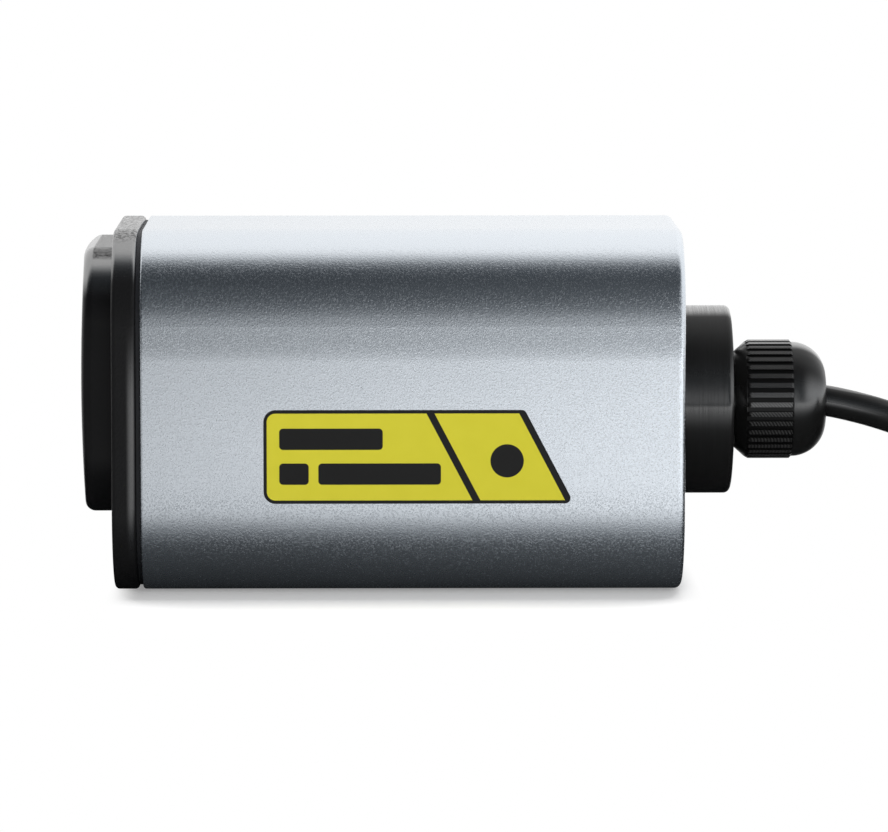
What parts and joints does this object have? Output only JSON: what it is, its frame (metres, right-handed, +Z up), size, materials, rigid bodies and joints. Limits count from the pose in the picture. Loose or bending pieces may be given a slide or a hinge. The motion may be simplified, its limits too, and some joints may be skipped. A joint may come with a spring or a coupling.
{
  "type": "micro lidar sensor",
  "caption": "Square aluminium laser ranging sensor with a black front frame and window bezel, a turned rear collar, a cable gland and a coiled lead.",
  "frame": {"origin": "under the middle of the sensor's length and width, on its bottom face, cable left out", "axes": "+X from the window to the cable, +Z up, -Y towards the labelled side"},
  "size_m": [0.1856, 0.0664, 0.046],
  "materials": {
    "blasted_aluminium": "bead blasted and clear anodised, satin",
    "textured_black_plastic": "spark textured moulding",
    "smooth_black_plastic": "satin black moulding",
    "seal_rubber": "matt black rubber",
    "dark_window": "polished, nearly black",
    "optics_black": "matt black",
    "lens_glass": "polished, coated",
    "black_anodised": "turned and black anodised",
    "plated_steel": "zinc plated",
    "tinned_steel": "tinned sheet",
    "gilt_brass": "bright brass",
    "circuit_board": "solder mask over glass fibre",
    "component_black": "moulded",
    "component_grey": "moulded and sleeved",
    "header_plastic": "natural nylon",
    "core_insulation": "coloured insulation",
    "gland_plastic": "moulded nylon",
    "cable_jacket": "satin black jacket",
    "tie_nylon": "moulded nylon",
    "yellow_film": "printed film"
  },
  "bodies": {
    "root": {"housing": "blasted_aluminium", "front_frame": "textured_black_plastic", "window_bezel": "smooth_black_plastic", "front_gasket": "seal_rubber", "window_seal": "seal_rubber", "gland_seal": "seal_rubber", "collar_o_ring": "seal_rubber", "front_window": "dark_window", "optics_block": "optics_black", "receiver_lens": "lens_glass", "emitter_lens": "lens_glass", "receiver_lens_ring": "black_anodised", "emitter_lens_ring": "black_anodised", "rear_collar": "black_anodised", "collar_ring_nut": "plated_steel", "front_screws": "plated_steel", "optics_screws": "plated_steel", "stack_screws": "plated_steel", "shield_can": "tinned_steel", "photodiode": "tinned_steel", "laser_diode": "gilt_brass", "board_spacers": "gilt_brass", "tail_ferrules": "gilt_brass", "transceiver_board": "circuit_board", "processor_board": "circuit_board", "power_board": "circuit_board", "board_chips": "component_black", "stack_connectors": "component_black", "power_parts": "component_grey", "lead_header": "header_plastic", "lead_plug": "header_plastic", "inner_cores": "core_insulation", "tail_cores": "core_insulation", "gland_body": "gland_plastic", "gland_nut": "gland_plastic", "cable_entry": "cable_jacket", "cable_lead": "cable_jacket", "cable_coil": "cable_jacket", "cable_tail_end": "cable_jacket", "coil_tie": "tie_nylon", "side_label": "yellow_film"}
  },
  "joints": []
}
